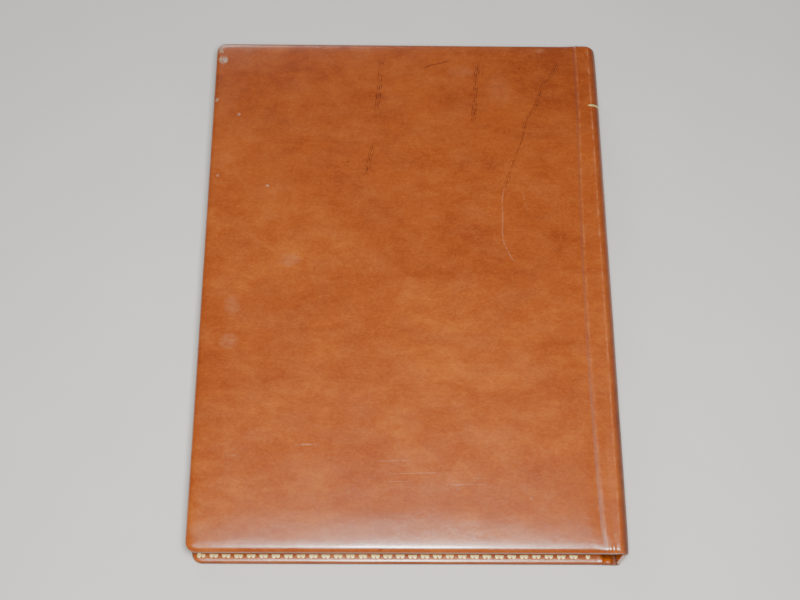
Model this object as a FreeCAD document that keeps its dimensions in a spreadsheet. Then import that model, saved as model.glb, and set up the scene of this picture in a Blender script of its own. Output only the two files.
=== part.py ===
import FreeCAD, Part
import os

import Sketcher
from FreeCAD import Placement, Rotation, Vector

# A folding desk mat in book form: a lower front cover, a flat spine and an upper back cover under
# one leather. Closed, it lies on its front cover. Opened, both covers and the spine lie flat.
# +X runs to the spine, +Y to the head and +Z up. The origin is the centre of the footprint.
# Both covers are modelled in the lower one's place, outer face down, and the upper is turned over.
# All sizes are in millimetres.

DRIVING_SIZES = {
    "closed_width": 240.0,
    "closed_length": 324.0,
    "closed_thickness": 36.0,
    "origin": 0.0,
    "skin": 1.2,                # outer leather
    "turn_in": 0.8,             # the same leather, pared where it folds over the inside edge
    "felt": 0.8,
    "board": 3.0,
    "cloth": 0.5,               # lining
    "cover_corner": 6.0,        # corners at the fore-edge, seen from above
    "edge_round": 4.0,          # a cover's outer edge, seen from the side
    "inner_round": 0.6,
    "crease_round": 0.9,        # leather pressed down beside the board's end
    "margin": 12.0,             # width of the leather turned in
    "bend_round": 6.0,          # leather round the spine's corner
    "hinge_strip": 9.0,         # flat leather from the crease to the bend
    "board_gap": 1.0,           # from the board's end to the crease
    "spine_card": 1.5,
    "card_inset": 1.5,
    "gilt": 0.1,
    "gilt_width": 2.2,
    "gilt_inset": 3.0,
    "gilt_end": 102.5,
    "gilt_line": 1.4,
    "gilt_line_middle": 117.0,
    "pocket_reach": 120.0,
    "pocket_depth": 4.6,
    "pocket_wall": 1.0,
    "pocket_inset": 1.0,
    "pad_width": 210.0,         # A4
    "pad_length": 297.0,
    "pad_board": 2.0,
    "pad_inset": 1.5,
    "sheet_thickness": 0.5,
    "sheet_count": 31,
    "corner_leather": 1.0,
    "corner_leg": 46.0,
}

DERIVED_SIZES = {
    "half_width": "=closed_width / 2",
    "half_length": "=closed_length / 2",
    "bend_start": "=half_width - bend_round",
    "crease": "=bend_start - hinge_strip",
    "board_end": "=crease - board_gap",
    "felt_top": "=skin + felt",
    "board_top": "=felt_top + board",
    "lining_top": "=board_top + cloth",
    "cover_thickness": "=board_top + turn_in",
    "core_depth": "=board_top - skin",
    "core_left": "=half_width - skin",
    "core_half": "=half_length - skin",
    "core_corner": "=cover_corner - skin",
    "core_round": "=edge_round - skin",
    "felt_left": "=core_left - core_round",
    "felt_half": "=core_half - core_round",
    "board_round": "=core_round - felt",
    "lining_left": "=half_width - margin",
    "lining_half": "=half_length - margin",
    "gilt_left": "=half_width - gilt_inset",
    "gilt_half": "=half_length - gilt_inset",
    "gilt_left_inside": "=gilt_left - gilt_width",
    "gilt_half_inside": "=gilt_half - gilt_width",
    "spine_height": "=closed_thickness - 2 * bend_round",
    "spine_inside": "=half_width - skin",
    "hinge_lining_inside": "=spine_inside - cloth",
    "card_inside": "=spine_inside - spine_card",
    "spine_lining_inside": "=card_inside - cloth",
    "card_bottom": "=bend_round + card_inset",
    "card_height": "=spine_height - 2 * card_inset",
    "gilt_line_inside": "=half_width - gilt",
    "gilt_line_low": "=gilt_line_middle - gilt_line / 2",
    "gilt_line_high": "=gilt_line_middle + gilt_line / 2",
    "pocket_left": "=lining_left - pocket_inset",
    "pocket_left_inside": "=pocket_left - pocket_wall",
    "pocket_mouth": "=pocket_reach - pocket_left",
    "pocket_half": "=lining_half - pocket_inset",
    "pocket_half_inside": "=pocket_half - pocket_wall",
    "pocket_top": "=lining_top + pocket_depth",
    "pad_left": "=lining_left - pad_inset",
    "pad_right": "=pad_width - pad_left",
    "pad_half": "=pad_length / 2",
    "sheets_bottom": "=lining_top + pad_board",
    "corner_cavity": "=pad_board + sheet_count * sheet_thickness",
    "corner_height": "=corner_cavity + corner_leather",
    "corner_cut": "=corner_leg + 2 * corner_leather",
}

doc = FreeCAD.newDocument("desk_mat")
sizes = doc.addObject("Spreadsheet::Sheet", "sizes")
for row, (alias, value) in enumerate({**DRIVING_SIZES, **DERIVED_SIZES}.items(), start=1):
    sizes.set(f"A{row}", alias)
    sizes.set(f"B{row}", str(value))
    sizes.setAlias(f"B{row}", alias)
doc.recompute()

TOUCH = 0.01
nodes = []


def size_of(name):
    """A sheet size as a number. A leading minus changes its sign."""
    return -float(sizes.get(name[1:])) if name.startswith("-") else float(sizes.get(name))


def cell(name):
    """A sheet size as an expression. A leading minus changes its sign."""
    return "-sizes." + name[1:] if name.startswith("-") else "sizes." + name


def as_node(piece, label, placement=None):
    """Gives a finished sub-part its label, which names its file, and its place."""
    piece.Label = label
    if placement:
        piece.Placement = placement
    nodes.append(piece)
    return piece


def turned_over():
    """From the lower cover's place to the upper one's."""
    return Placement(Vector(0, 0, size_of("closed_thickness")), Rotation(Vector(1, 0, 0), 180))


# PartDesign pieces: outlines on the body's own XY plane, padded, pocketed and rounded.

def outline(body, name, corners, height=None):
    """A closed sketch through corners given as pairs of size names, raised by the size height."""
    sketch = body.newObject("Sketcher::SketchObject", name)
    plane = next(f for f in body.Origin.OriginFeatures if f.Role == "XY_Plane")
    sketch.AttachmentSupport = [(plane, "")]
    sketch.MapMode = "FlatFace"
    if height:
        sketch.setExpression(".AttachmentOffset.Base.z", cell(height))
    points = [Vector(size_of(x), size_of(y), 0) for x, y in corners]
    for side, start in enumerate(points):
        sketch.addGeometry(Part.LineSegment(start, points[(side + 1) % len(points)]), False)
    for side, (names, point) in enumerate(zip(corners, points)):
        following = (side + 1) % len(points)
        sketch.addConstraint(Sketcher.Constraint("Coincident", side, 2, following, 1))
        for kind, size_name, value in zip(("DistanceX", "DistanceY"), names, point):
            place = sketch.addConstraint(Sketcher.Constraint(kind, -1, 1, side, 1, value))
            sketch.setExpression(f"Constraints[{place}]", cell(size_name))
    return sketch


def rectangle(body, name, left, right, half, height=None):
    low = "-" + half
    corners = [(left, low), (right, low), (right, half), (left, half)]
    return outline(body, name, corners, height)


def pad(body, sketch, name, thickness):
    feature = body.newObject("PartDesign::Pad", name)
    feature.Profile = sketch
    feature.setExpression("Length", cell(thickness))
    sketch.Visibility = False
    doc.recompute()
    return feature


def pocket_upward(body, sketch, name, depth):
    """Cuts from the sketch towards +Z, and makes sure that something was cut."""
    before = body.Shape.Volume
    feature = body.newObject("PartDesign::Pocket", name)
    feature.Profile = sketch
    feature.Reversed = True
    feature.setExpression("Length", cell(depth))
    doc.recompute()
    if not body.Shape.Volume < before:
        raise RuntimeError(name + " cuts nothing")
    return feature


def rounded(body, name, radius, wanted):
    """Rounds the edges of the body whose bounding boxes pass the test."""
    base = body.Tip
    chosen = [f"Edge{n}" for n, edge in enumerate(base.Shape.Edges, start=1) if wanted(edge.BoundBox)]
    feature = body.newObject("PartDesign::Fillet", name)
    feature.Base = (base, chosen)
    feature.setExpression("Radius", cell(radius))
    doc.recompute()
    return feature


def plate(label, left, right, half, bottom, thickness, placement=None):
    """A flat piece between two places in X, symmetrical in Y."""
    body = doc.addObject("PartDesign::Body", label)
    pad(body, rectangle(body, label + "_outline", left, right, half, bottom), label + "_pad", thickness)
    return as_node(body, label, placement)


def upright(box, x):
    """Whether an edge stands along Z at the place x."""
    return box.ZLength > TOUCH and abs(box.XMin - x) < TOUCH and box.XLength < TOUCH


def level(box, z, left_of):
    """Whether an edge lies at the height z and starts left of a place in X."""
    return abs(box.ZMin - z) < TOUCH and box.ZLength < TOUCH and box.XMin < left_of - TOUCH


# The two covers.

def cover_leather(side, placement):
    """The leather of one cover: outer face, three rounded edges, and the turned-in margin."""
    label = side + "_leather"
    body = doc.addObject("PartDesign::Body", label)
    crease, skin, top = size_of("crease"), size_of("skin"), size_of("cover_thickness")
    fore_edge, core_edge = -size_of("half_width"), -size_of("core_left")
    block = rectangle(body, label + "_outline", "-half_width", "crease", "half_length")
    pad(body, block, label + "_pad", "cover_thickness")
    core = rectangle(body, label + "_core", "-core_left", "crease", "core_half", "skin")
    pocket_upward(body, core, label + "_core_pocket", "core_depth")
    window = rectangle(body, label + "_window", "-lining_left", "crease", "lining_half", "board_top")
    pocket_upward(body, window, label + "_window_pocket", "turn_in")
    rounded(body, label + "_corners", "cover_corner", lambda box: upright(box, fore_edge))
    rounded(body, label + "_core_corners", "core_corner", lambda box: upright(box, core_edge))
    rounded(body, label + "_core_edge", "core_round", lambda box: level(box, skin, crease))
    rounded(body, label + "_outer_edge", "edge_round", lambda box: level(box, 0.0, crease))
    inside = -size_of("lining_left")
    rim = size_of("lining_half")
    rounded(body, label + "_inner_edge", "inner_round",
            lambda box: level(box, top, crease) and (box.XMax < inside - TOUCH or abs(box.YMin) > rim + TOUCH
                                                     and abs(box.YMax) > rim + TOUCH))
    rounded(body, label + "_crease", "crease_round",
            lambda box: abs(box.ZMax) < TOUCH and abs(box.XMin - crease) < TOUCH)
    return as_node(body, label, placement)


def cover_board(side, placement):
    label = side + "_board"
    body = doc.addObject("PartDesign::Body", label)
    board_end, core_edge, low = size_of("board_end"), -size_of("core_left"), size_of("felt_top")
    block = rectangle(body, label + "_outline", "-core_left", "board_end", "core_half", "felt_top")
    pad(body, block, label + "_pad", "board")
    rounded(body, label + "_corners", "core_corner", lambda box: upright(box, core_edge))
    rounded(body, label + "_edge", "board_round", lambda box: level(box, low, board_end))
    return as_node(body, label, placement)


def gilt_border(side, placement):
    """The gold line tooled on the turned-in margin, along the tail, fore-edge and head."""
    label = side + "_gilt_border"
    body = doc.addObject("PartDesign::Body", label)
    corners = [("gilt_end", "-gilt_half"), ("gilt_end", "-gilt_half_inside"),
               ("-gilt_left_inside", "-gilt_half_inside"), ("-gilt_left_inside", "gilt_half_inside"),
               ("gilt_end", "gilt_half_inside"), ("gilt_end", "gilt_half"),
               ("-gilt_left", "gilt_half"), ("-gilt_left", "-gilt_half")]
    pad(body, outline(body, label + "_outline", corners, "cover_thickness"), label + "_pad", "gilt")
    return as_node(body, label, placement)


# The leather and the cloth that bend at the spine's corners, made of primitives.

def box(name, left, bottom, half, width, height):
    """A Part box, symmetrical in Y. Left and bottom are size names; width and height expressions."""
    solid = doc.addObject("Part::Box", name)
    for size_property, expression in (("Length", width), ("Height", height), ("Width", f"2 * sizes.{half}")):
        solid.setExpression(size_property, expression)
    solid.setExpression(".Placement.Base.x", cell(left))
    solid.setExpression(".Placement.Base.y", "-sizes." + half)
    if bottom:
        solid.setExpression(".Placement.Base.z", cell(bottom))
    return solid


def quarter_ring(name, half, outer, inner):
    """A quarter of a tube along Y round the bend's centre, from straight down to the spine side."""
    tubes = []
    for part_name, radius in ((name + "_outside", outer), (name + "_inside", inner)):
        tube = doc.addObject("Part::Cylinder", part_name)
        tube.Placement = Placement(Vector(), Rotation(Vector(1, 0, 0), -90))
        tube.Angle = 90
        tube.setExpression("Radius", radius)
        tube.setExpression("Height", f"2 * sizes.{half}")
        tube.setExpression(".Placement.Base.x", "sizes.bend_start")
        tube.setExpression(".Placement.Base.y", "-sizes." + half)
        tube.setExpression(".Placement.Base.z", "sizes.bend_round")
        tubes.append(tube)
    ring = doc.addObject("Part::Cut", name)
    ring.Base, ring.Tool = tubes
    return ring


def fused(label, pieces, placement):
    whole = doc.addObject("Part::MultiFuse", label)
    whole.Shapes = pieces
    whole.Refine = True
    doc.recompute()
    return as_node(whole, label, placement)


def hinge_leather(side, placement):
    """The flat strip beside the crease, and the bend into the spine."""
    label = side + "_hinge_leather"
    strip = box(label + "_strip", "crease", None, "half_length", "sizes.hinge_strip", "sizes.skin")
    bend = quarter_ring(label + "_bend", "half_length", "sizes.bend_round", "sizes.bend_round - sizes.skin")
    return fused(label, [strip, bend], placement)


def hinge_lining(side, placement):
    """Cloth that goes down the board's end, along the strip, round the bend and up to the card."""
    label = side + "_hinge_lining"
    down = box(label + "_down", "board_end", "skin", "lining_half",
               "sizes.cloth", "sizes.lining_top - sizes.skin")
    along = box(label + "_along", "board_end", "skin", "lining_half",
                "sizes.bend_start - sizes.board_end", "sizes.cloth")
    bend = quarter_ring(label + "_bend", "lining_half",
                        "sizes.bend_round - sizes.skin", "sizes.bend_round - sizes.skin - sizes.cloth")
    up = box(label + "_up", "hinge_lining_inside", "bend_round", "lining_half",
             "sizes.cloth", "sizes.card_inset")
    return fused(label, [down, along, bend, up], placement)


def make_cover(side, placement):
    cover_leather(side, placement)
    plate(side + "_felt", "-felt_left", "board_end", "felt_half", "skin", "felt", placement)
    cover_board(side, placement)
    plate(side + "_lining", "-lining_left", "board_end", "lining_half", "board_top", "cloth", placement)
    gilt_border(side, placement)
    hinge_leather(side, placement)
    hinge_lining(side, placement)


# What the covers hold: a document pocket in the front one, a block of blotting paper in the back one.

def document_pocket(placement):
    """A leather panel on walls along the fore-edge, head and tail. Its mouth faces the spine."""
    plate("pocket_fore_edge_wall", "-pocket_left", "-pocket_left_inside", "pocket_half",
          "lining_top", "pocket_depth", placement)
    for end, sign in (("head", ""), ("tail", "-")):
        label = f"pocket_{end}_wall"
        body = doc.addObject("PartDesign::Body", label)
        corners = [("-pocket_left_inside", sign + "pocket_half_inside"),
                   ("pocket_mouth", sign + "pocket_half_inside"),
                   ("pocket_mouth", sign + "pocket_half"), ("-pocket_left_inside", sign + "pocket_half")]
        sketch = outline(body, label + "_outline", corners, "lining_top")
        pad(body, sketch, label + "_pad", "pocket_depth")
        as_node(body, label, placement)
    plate("pocket_panel", "-pocket_left", "pocket_mouth", "pocket_half",
          "pocket_top", "pocket_wall", placement)


def blotting_sheets(placement):
    """The loose sheets of the block, one solid each, lying on one another."""
    pile = doc.addObject("Part::Compound", "blotting_sheets")
    pages = []
    for number in range(int(size_of("sheet_count"))):
        page = doc.addObject("Part::Box", f"sheet_{number + 1}")
        page.setExpression("Length", "sizes.pad_width")
        page.setExpression("Width", "sizes.pad_length")
        page.setExpression("Height", "sizes.sheet_thickness")
        page.setExpression(".Placement.Base.x", "-sizes.pad_left")
        page.setExpression(".Placement.Base.y", "-sizes.pad_half")
        page.setExpression(".Placement.Base.z", f"sizes.sheets_bottom + {number} * sizes.sheet_thickness")
        pages.append(page)
    pile.Links = pages
    doc.recompute()
    as_node(pile, "blotting_sheets", placement)


def corner_holder(label, x, y, turn, placement):
    """A leather corner over the block: a triangle on two walls, open towards the block's middle.

    It is outlined with its right angle at the body's origin, then turned and moved to its corner.
    """
    body = doc.addObject("PartDesign::Body", label)
    whole = [("origin", "origin"), ("corner_leg", "origin"), ("origin", "corner_leg")]
    hollow = [("corner_leather",) * 2, ("corner_cut", "corner_leather"), ("corner_leather", "corner_cut")]
    pad(body, outline(body, label + "_outline", whole), label + "_pad", "corner_height")
    pocket_upward(body, outline(body, label + "_hollow", hollow), label + "_pocket", "corner_cavity")
    place = Placement(Vector(x, y, size_of("lining_top")), Rotation(Vector(0, 0, 1), turn))
    as_node(body, label, placement * place)


def blotter(placement):
    plate("blotter_backing", "-pad_left", "pad_right", "pad_half", "lining_top", "pad_board", placement)
    blotting_sheets(placement)
    leather = size_of("corner_leather")
    left, right = -size_of("pad_left") - leather, size_of("pad_right") + leather
    half = size_of("pad_half") + leather
    corners = {"blotter_corner_fore_head": (left, -half, 0), "blotter_corner_hinge_head": (right, -half, 90),
               "blotter_corner_hinge_tail": (right, half, 180), "blotter_corner_fore_tail": (left, half, 270)}
    for label, (x, y, turn) in corners.items():
        corner_holder(label, x, y, turn, placement)


# The spine, upright between the two bends.

def spine():
    label = "spine_leather"
    body = doc.addObject("PartDesign::Body", label)
    block = rectangle(body, label + "_outline", "spine_inside", "half_width", "half_length", "bend_round")
    pad(body, block, label + "_pad", "spine_height")
    line = [("gilt_line_inside", "gilt_line_low"), ("half_width", "gilt_line_low"),
            ("half_width", "gilt_line_high"), ("gilt_line_inside", "gilt_line_high")]
    channel = outline(body, label + "_channel", line, "bend_round")
    pocket_upward(body, channel, label + "_channel_pocket", "spine_height")
    as_node(body, label)
    plate("spine_card", "card_inside", "spine_inside", "lining_half", "card_bottom", "card_height")
    plate("spine_lining", "spine_lining_inside", "card_inside", "lining_half", "card_bottom", "card_height")
    gilt = doc.addObject("PartDesign::Body", "spine_gilt_line")
    pad(gilt, outline(gilt, "spine_gilt_outline", line, "bend_round"), "spine_gilt_pad", "spine_height")
    as_node(gilt, "spine_gilt_line")


make_cover("front", Placement())
document_pocket(Placement())
make_cover("back", turned_over())
blotter(turned_over())
spine()
doc.recompute()

failed = [item.Name for item in doc.Objects if {"Invalid", "Error"} & set(item.State)]
bad = [node.Label for node in nodes if node.Shape.isNull() or not node.Shape.isValid()]
if failed or bad:
    raise RuntimeError(f"failed objects {failed}, bad shapes {bad}")

os.makedirs("parts", exist_ok=True)
for node in nodes:
    node.Shape.exportStep(f"parts/{node.Label}.step")
    bounds = node.Shape.BoundBox
    print(f"{node.Label:28s} {len(node.Shape.Solids):3d} solids {node.Shape.Volume:12.1f} mm3  "
          f"x {bounds.XMin:8.2f} {bounds.XMax:8.2f}  y {bounds.YMin:8.2f} {bounds.YMax:8.2f}  "
          f"z {bounds.ZMin:6.2f} {bounds.ZMax:6.2f}")
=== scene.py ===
"""Visual model of a folding desk mat: a closed, book-form leather folio with its back cover up."""

import math

import bpy
import numpy as np
from mathutils import Matrix, Vector, noise


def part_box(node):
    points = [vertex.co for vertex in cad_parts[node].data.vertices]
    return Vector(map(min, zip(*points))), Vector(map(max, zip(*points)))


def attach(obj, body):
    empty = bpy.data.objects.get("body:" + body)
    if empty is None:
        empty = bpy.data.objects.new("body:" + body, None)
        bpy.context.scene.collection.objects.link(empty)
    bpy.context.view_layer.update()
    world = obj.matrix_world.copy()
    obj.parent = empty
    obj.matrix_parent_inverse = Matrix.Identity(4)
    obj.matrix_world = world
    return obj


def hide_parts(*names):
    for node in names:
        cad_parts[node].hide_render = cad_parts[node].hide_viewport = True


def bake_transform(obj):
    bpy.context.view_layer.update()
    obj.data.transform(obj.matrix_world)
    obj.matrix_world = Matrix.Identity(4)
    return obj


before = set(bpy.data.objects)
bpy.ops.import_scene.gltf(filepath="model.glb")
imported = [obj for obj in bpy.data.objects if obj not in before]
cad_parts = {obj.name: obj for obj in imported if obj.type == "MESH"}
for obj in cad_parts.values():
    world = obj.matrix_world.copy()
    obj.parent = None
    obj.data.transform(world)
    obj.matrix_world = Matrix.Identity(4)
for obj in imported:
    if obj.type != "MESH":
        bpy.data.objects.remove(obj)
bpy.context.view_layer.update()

# ---- Sizes, in millimetres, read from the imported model

MM = 0.001


def corners(node):
    """Lowest and highest corner of a CAD node, in millimetres."""
    low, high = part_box(node)
    return np.array(low) / MM, np.array(high) / MM


leather_low, leather_high = corners("back_leather")
spine_high = corners("spine_leather")[1]
lining_low, lining_high = corners("back_lining")
card_low, card_high = corners("spine_card")
board_high = corners("back_board")[1]

FORE_EDGE, CREASE = leather_low[0], leather_high[0]
HALF_LENGTH, HEIGHT = leather_high[1], leather_high[2]
COVER = leather_high[2] - leather_low[2]
SPINE = spine_high[0]
BEND = HEIGHT - spine_high[2]
BEND_START = SPINE - BEND
BEND_END = BEND_START + BEND * math.pi / 2
SPINE_MIDDLE = BEND_END + HEIGHT / 2 - BEND
WRAP_LENGTH = 2 * SPINE_MIDDLE
INNER_FORE, INNER_HALF = lining_low[0], lining_high[1]
LINING_DEPTH = HEIGHT - lining_low[2]
BOARD_END = board_high[0]
CARD_DEPTH = SPINE - card_low[0]
CARD_START = BEND_END + HEIGHT - BEND - card_high[2]

COVER_CORNER = 6.0
LEATHER = 0.7
LINING = 0.4
# Edges sharper than this many degrees stay crisp on gold and paper
SHARP = 35.0
# The bands along an edge in which the leather falls away: a wide gentle one, and a steeper one at the edge
EDGE_ROLL, EDGE_TURN = 24.0, 6.2
# How far the leather reaches down beside the board's end: at its rounded edge, and at its turned-in margin
ROLLED_DEPTH, STRIP_DEPTH = 5.2, 2.2
# Where the leather changes from the cover's thickness to the strip's, and from the spine's edge to its card
UPPER_STEP = (BOARD_END - 0.4, BOARD_END + 3.0)
LOWER_STEP = (BOARD_END + 4.2, BOARD_END + 7.2)
CARD_STEP = (CARD_START - 3.0, CARD_START - 0.5)
# Where the leather gathers at the ends of the strip between crease and spine, and how much
STRIP_MIDDLE, GATHER = 110.5, 0.13
# The fold of the lower cover's tucked-in leather beside the strip: its place, half width and thickness
TUCK_AT, TUCK_WIDTH, TUCK = 109.0, 1.1, 0.5
# How far the leather is drawn in at the spine's head
HEAD_DRAW = 2.4
# Depth of the pressed crease, how much lower the strip beside it lies, and the crease's flare at the tail
CREASE_DEPTH, STRIP_SINK, CREASE_FLARE = 0.20, 0.07, 1.4
# How far the leather falls towards head and tail, towards the fore edge, and in the steeper band
END_FALL, FORE_FALL, TURN_FALL = 0.78, 0.60, 0.62
# How far the face lies below nominal, so that its swell stays inside the model's box
SETTLED = 0.18
# Radii of a cover's upper and lower edge, as shares of the edge's depth
UPPER_ROUND, LOWER_ROUND = 0.52, 0.36
# The stretch across in which the mesh is finer
FINE_START, FINE_END = 98.0, 113.0
# How far the surface's relief moves the edge outwards, and how much of it is left on the turned-in margin
EDGE_RELIEF, MARGIN_RELIEF = 0.2, 0.15


def smooth(value, start, end):
    """0 before start, 1 after end, and a smooth step between them."""
    share = np.clip((np.asarray(value, float) - start) / (end - start), 0.0, 1.0)
    return share * share * (3.0 - 2.0 * share)


def bump_at(value, middle, width):
    """A bell of height 1 round middle."""
    return np.exp(-(((np.asarray(value, float) - middle) / width) ** 2))


def waves(across, along, size, seed):
    """Smooth noise from -1 to 1 with features of about that size."""
    across, along = np.broadcast_arrays(across, along)
    flat = zip(across.ravel() / size, along.ravel() / size)
    found = [noise.noise(Vector((a, b, seed))) for a, b in flat]
    return np.array(found).reshape(across.shape)


# ---- Meshes


def make_piece(name, points, faces, place=None, painted_shading=None):
    """A mesh object from points in millimetres.

    place keeps each point's spot on the material. painted_shading is its painted shade, and below 0 its
    painted highlight."""
    mesh = bpy.data.meshes.new(name)
    mesh.from_pydata((np.asarray(points, float) * MM).tolist(), [], faces)
    mesh.polygons.foreach_set("use_smooth", [True] * len(mesh.polygons))
    spots = np.asarray(points if place is None else place, float) * MM
    stored = mesh.attributes.new("place", "FLOAT_VECTOR", "POINT")
    stored.data.foreach_set("vector", spots.astype(np.float32).ravel())
    if painted_shading is not None:
        shading_paint = mesh.attributes.new("painted_shading", "FLOAT", "POINT")
        shading_paint.data.foreach_set("value", np.asarray(painted_shading, np.float32))
    piece = bpy.data.objects.new(name, mesh)
    bpy.context.scene.collection.objects.link(piece)
    return piece


def settle(piece, sharp=50.0):
    """Applies the piece's modifiers and keeps its edges sharp above that angle."""
    bpy.context.view_layer.update()
    graph = bpy.context.evaluated_depsgraph_get()
    mesh = bpy.data.meshes.new_from_object(piece.evaluated_get(graph))
    old = piece.data
    piece.modifiers.clear()
    piece.data = mesh
    bpy.data.meshes.remove(old)
    mesh.polygons.foreach_set("use_smooth", [True] * len(mesh.polygons))
    mesh.set_sharp_from_angle(angle=math.radians(sharp))
    return piece


def thicken(piece, thickness):
    """Gives a surface its thickness, on the side away from its normals."""
    solid = piece.modifiers.new("thickness", "SOLIDIFY")
    solid.thickness = thickness * MM
    solid.offset = -1.0
    return settle(piece)


def grid_faces(columns, rows, flip=False, start=0):
    """Quads of a grid whose point (i, j) has the index start + j * columns + i."""
    faces = []
    for j in range(rows - 1):
        for i in range(columns - 1):
            first = start + j * columns + i
            quad = (first, first + 1, first + columns + 1, first + columns)
            faces.append(quad[::-1] if flip else quad)
    return faces


def rim_path(columns, rows):
    """Grid indices along three sides: the tail, the fore edge and the head."""
    tail = list(range(columns - 1, -1, -1))
    fore = [j * columns for j in range(1, rows)]
    head = [(rows - 1) * columns + i for i in range(1, columns)]
    return np.array(tail + fore + head)


def outline(spots, fore_inner, half_inner, fore, half, corner, inset):
    """Where the inner rectangle's rim meets the outline: straight across, and fanned round the corners."""
    # Slack for a point on the rim, and the length over which a corner's points are spread
    near, fan = 1e-6, 30.0
    across, along = spots[:, 0], spots[:, 1]
    side = np.where(along < 0, -1.0, 1.0)
    on_fore = (across <= fore_inner + near) & (np.abs(along) < half_inner - near)
    run = np.where(on_fore, half_inner - np.abs(along), across - fore_inner)
    reach = corner * math.pi / 4
    lead = reach + fore_inner - fore - corner
    arc = run + lead * smooth(run, 0.0, fan)
    turn = np.pi / 4 - np.minimum(arc, reach) / corner
    straight = np.maximum(arc - reach, 0.0)
    left = np.where(on_fore, np.cos(turn), np.sin(turn))
    out = np.where(on_fore, np.sin(turn), np.cos(turn))
    x = fore + corner - (corner - inset) * left + np.where(on_fore, 0.0, straight)
    y = half - corner + (corner - inset) * out - np.where(on_fore, straight, 0.0)
    return np.stack([x, y * side], axis=1)


def wrapped(across, along, fore, half, corner, profile, relief, to_row, flip):
    """A sheet with its edges turned round three sides: a grid, and rings that follow the profile.

    profile(s) lists the rings as (share of the way to the edge, inset, depth, angle in degrees).
    relief(s, y) is how far the surface stands out."""
    columns, rows = len(across), len(along)
    s, y = np.meshgrid(across, along)
    grid = np.stack([s.ravel(), y.ravel(), -relief(s, y).ravel()], axis=1)
    path = rim_path(columns, rows)
    inner = grid[path][:, :2]
    spots = [grid]
    for share, inset, depth, angle in profile(inner[:, 0]):
        up, sideways = math.cos(math.radians(angle)), math.sin(math.radians(angle))
        rough = outline(inner, across[0], along[-1], fore, half, corner, inset)
        flat = inner + (rough - inner) * share
        height = relief(flat[:, 0], flat[:, 1])
        if angle > 90:
            height = MARGIN_RELIEF * height
        moved = inset - EDGE_RELIEF * height * sideways
        edge = outline(inner, across[0], along[-1], fore, half, corner, moved)
        flat = inner + (edge - inner) * share
        spots.append(np.column_stack([flat, depth - height * up]))
    spots = np.concatenate(spots)
    faces = grid_faces(columns, rows, flip)
    count = len(path)
    ring = path
    for k in range((len(spots) - len(grid)) // count):
        following = len(grid) + k * count + np.arange(count)
        for p in range(count - 1):
            quad = (ring[p], ring[p + 1], following[p + 1], following[p])
            quad = tuple(int(v) for v in quad)
            faces.append(quad[::-1] if flip else quad)
        ring = following
    return to_row(*spots.T), faces, spots


# ---- The leather wrap: s runs from the fore edge along X, round the bend and down the spine


def wrap_point(s, y, depth, lower):
    """Row-frame points of places on the wrap, depth being measured in from the outer face."""
    s, y, depth = np.broadcast_arrays(*(np.asarray(v, float) for v in (s, y, depth)))
    turn = np.clip((s - BEND_START) / BEND, 0.0, math.pi / 2)
    radius = BEND - depth
    x = np.minimum(s, BEND_START) + radius * np.sin(turn)
    z = HEIGHT - BEND + radius * np.cos(turn) - np.maximum(s - BEND_END, 0.0)
    return np.stack([x, y, HEIGHT - z if lower else z], axis=-1)


def wrap_place(spots, lower):
    """The leather's own coordinates, which run on over the middle of the spine."""
    made = np.array(spots, float)
    if lower:
        made[:, 0] = WRAP_LENGTH - made[:, 0]
    return made


def crease_line(y, lower):
    """Where the pressed crease runs: nearly straight, and flared at the tail."""
    flare = CREASE_FLARE * smooth(-y, HALF_LENGTH - 14.0, HALF_LENGTH)
    if lower:
        return CREASE + 2.6 + 0.5 * bump_at(y, 60.0, 70.0) + flare
    return CREASE - 0.9 + np.minimum(1.3e-4 * (y + 25.0) ** 2, 2.3) + flare


def outer_relief(lower):
    """How far the outer leather stands out from its nominal face, as a function of s and y."""
    seed = 31.0 if lower else 7.0

    def relief(s, y):
        s, y = np.broadcast_arrays(s, y)
        line = crease_line(y, lower)
        u = WRAP_LENGTH - s if lower else s
        valley = smooth(s, line - 7.5, line - 0.9) * (1 - smooth(s, line - 0.9, line + 1.0))
        strip = smooth(s, line + 2.0, line + 5.0) * (1 - smooth(s, STRIP_MIDDLE, BEND_START + 1.0))
        crown = 1.0 - smooth(s, line - 8.0, line)
        gap_y, gap_s = HALF_LENGTH - np.abs(y), s - FORE_EDGE
        falls = (
            (END_FALL, gap_y, EDGE_ROLL),
            (FORE_FALL, gap_s, EDGE_ROLL),
            (TURN_FALL, np.minimum(gap_y, gap_s), EDGE_TURN),
        )
        roll = -sum(drop * np.clip(1.0 - gap / width, 0.0, 1.0) ** 2 for drop, gap, width in falls)
        swell = 0.13 * waves(u, y, 46.0, seed) + 0.05 * waves(u, y, 15.0, seed + 2.0) - SETTLED
        ends = smooth(np.abs(y), HALF_LENGTH - 5.5, HALF_LENGTH - 1.5)
        folds = np.sin(s * 2.6 + 1.5 * np.sin(s * 0.8)) * bump_at(s, STRIP_MIDDLE, 3.6) * ends
        pressed = CREASE_DEPTH * valley + STRIP_SINK * strip
        return roll * (0.35 + 0.65 * crown) + swell + GATHER * folds - pressed

    return relief


def wrap_depth(lower, strip):
    """How thick the wrap is along its edges: the cover's thickness, then the strip's, then the card's."""
    step = LOWER_STEP if lower else UPPER_STEP

    def depth(s):
        beyond = strip + (STRIP_DEPTH - strip) * smooth(s, BEND_START - 1.0, BEND_END - 3.0)
        thick = COVER + (beyond - COVER) * smooth(s, *step)
        if lower and strip > STRIP_DEPTH:
            thick = thick + TUCK * bump_at(s, TUCK_AT, TUCK_WIDTH)
        return thick + (CARD_DEPTH + LEATHER - STRIP_DEPTH) * smooth(s, *CARD_STEP)

    return depth


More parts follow.
